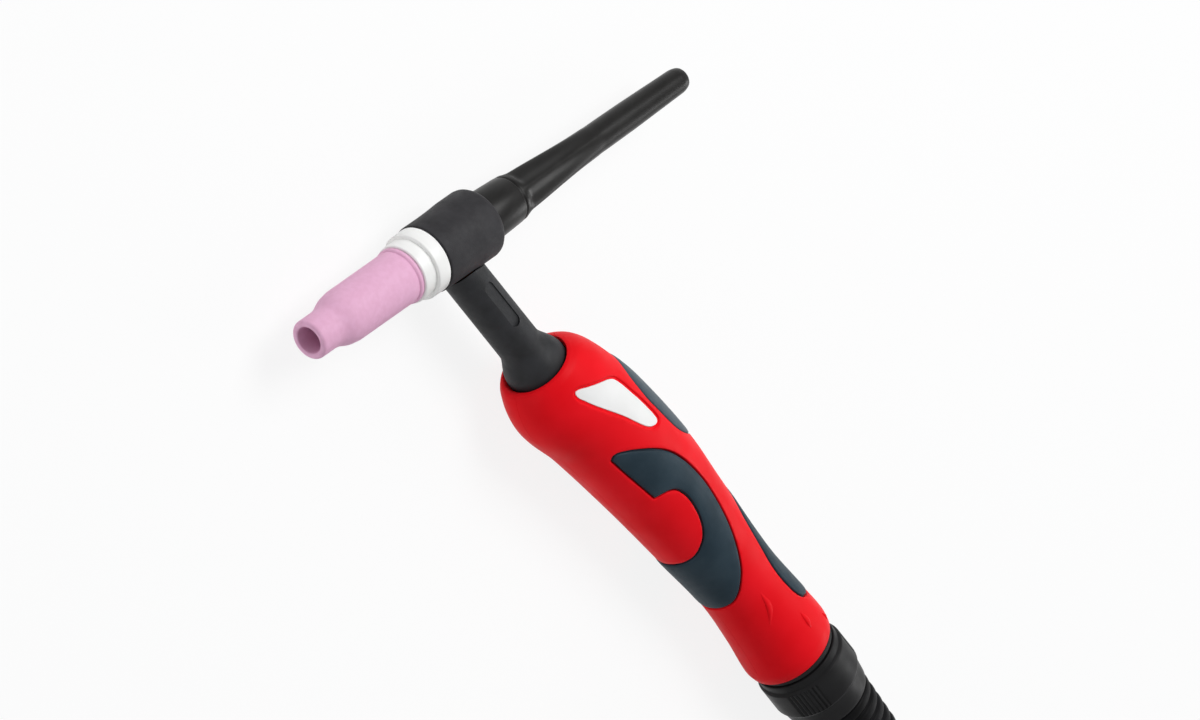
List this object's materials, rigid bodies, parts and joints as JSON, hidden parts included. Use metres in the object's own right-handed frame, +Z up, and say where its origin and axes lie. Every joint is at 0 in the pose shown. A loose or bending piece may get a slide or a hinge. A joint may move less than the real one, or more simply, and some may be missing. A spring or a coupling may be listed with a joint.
{
  "type": "tig welding torch",
  "caption": "Hand-held TIG welding torch with a ceramic gas cup, long back cap, moulded handle with a trigger, swivel strain boot and a coiled cable with plugs.",
  "frame": {"origin": "On the bench under the middle of the torch, without its cable and plugs; the torch lies on its side.", "axes": "+X along the handle from the head to the cable; +Y towards the back cap and trigger side, so that the gas cup points to -Y; +Z up from the bench, out of the side that carries the left shell."},
  "size_m": [0.6397, 0.23, 0.0348],
  "materials": {
    "alumina": "matt pink ceramic",
    "white_insulator": "smooth white heat-proof plastic",
    "head_rubber": "matt black",
    "gloss_black": "gloss black",
    "black_plastic": "satin black",
    "red_shell": "satin red",
    "soft_grey": "matt dark grey",
    "label_white": "smooth white",
    "brass": "machined",
    "copper": "machined copper",
    "tungsten": "ground tungsten",
    "steel": "satin",
    "cable_rubber": "matt black"
  },
  "bodies": {
    "cable": {"swivel_sleeve": "black_plastic", "swivel_seal": "head_rubber", "boot_collar": "black_plastic", "strain_boot": "cable_rubber", "cable_core": "cable_rubber", "cable_run": "cable_rubber", "cable_coil": "cable_rubber", "cable_tail": "cable_rubber", "cable_splitter": "head_rubber", "power_plug": "head_rubber", "power_plug_pin": "brass", "control_lead": "cable_rubber", "control_plug": "gloss_black"},
    "torch_body": {"handle_shell_left": "red_shell", "handle_shell_right": "red_shell", "side_grip_left": "soft_grey", "side_grip_right": "soft_grey", "palm_pad": "soft_grey", "label_plate_left": "label_white", "label_plate_right": "label_white", "shell_screw_1": "steel", "shell_screw_2": "steel", "shell_screw_3": "steel", "trigger_pin": "steel", "switch_holder": "black_plastic", "microswitch": "gloss_black", "power_hose": "cable_rubber", "switch_wires": "cable_rubber", "neck_cover": "head_rubber", "neck_tube": "copper", "cable_connector": "brass", "head_body": "brass", "head_cover": "head_rubber", "cup_gasket": "white_insulator", "collet_body": "brass", "collet": "copper"},
    "trigger_body": {"trigger": "soft_grey"},
    "plunger_body": {"switch_plunger": "label_white"},
    "cup_body": {"gas_cup": "alumina"},
    "electrode_body": {"tungsten_electrode": "tungsten"},
    "cap_seal_body": {"back_cap_seal": "cable_rubber"},
    "cap_body": {"back_cap": "gloss_black"},
    "ring_body": {"control_plug_ring": "steel"}
  },
  "joints": [
    {"name": "cable_swivel", "type": "hinge", "parent": "cable", "child": "torch_body", "pos_m": [0.07818, -0.0163, 0.01738], "axis": [1, 0, 0], "range_deg": [-90, 90]},
    {"name": "trigger_pivot", "type": "hinge", "parent": "torch_body", "child": "trigger_body", "pos_m": [-0.01582, -0.0044, 0.01738], "axis": [0, 0, 1], "range_deg": [0, 3], "stiffness_Nm_per_rad": 1, "springref_deg": -2.86},
    {"name": "switch_travel", "type": "slide", "parent": "torch_body", "child": "plunger_body", "axis": [0, -1, 0], "range_m": [0, 0.0015]},
    {"name": "cup_travel", "type": "slide", "parent": "torch_body", "child": "cup_body", "axis": [-0.4226, -0.9063, 0], "range_m": [0, 0.014]},
    {"name": "electrode_travel", "type": "slide", "parent": "torch_body", "child": "electrode_body", "axis": [-0.4226, -0.9063, 0], "range_m": [0, 0.012]},
    {"name": "cap_travel", "type": "slide", "parent": "torch_body", "child": "cap_seal_body", "axis": [0.4226, 0.9063, 0], "range_m": [0, 0.0055]},
    {"name": "cap_spin", "type": "hinge", "parent": "cap_seal_body", "child": "cap_body", "pos_m": [-0.13575, -0.00739, 0.01738], "axis": [0.4226, 0.9063, 0], "range_deg": [0, 1800]},
    {"name": "ring_spin", "type": "hinge", "parent": "cable", "child": "ring_body", "pos_m": [0.05268, -0.091, 0.00968], "axis": [1, 0, 0], "continuous": true}
  ],
  "couplings": [
    {"joint": "switch_travel", "follows": "trigger_pivot", "m_per_rad": 0.027},
    {"joint": "cap_travel", "follows": "cap_spin", "m_per_rad": 0.0001687}
  ]
}
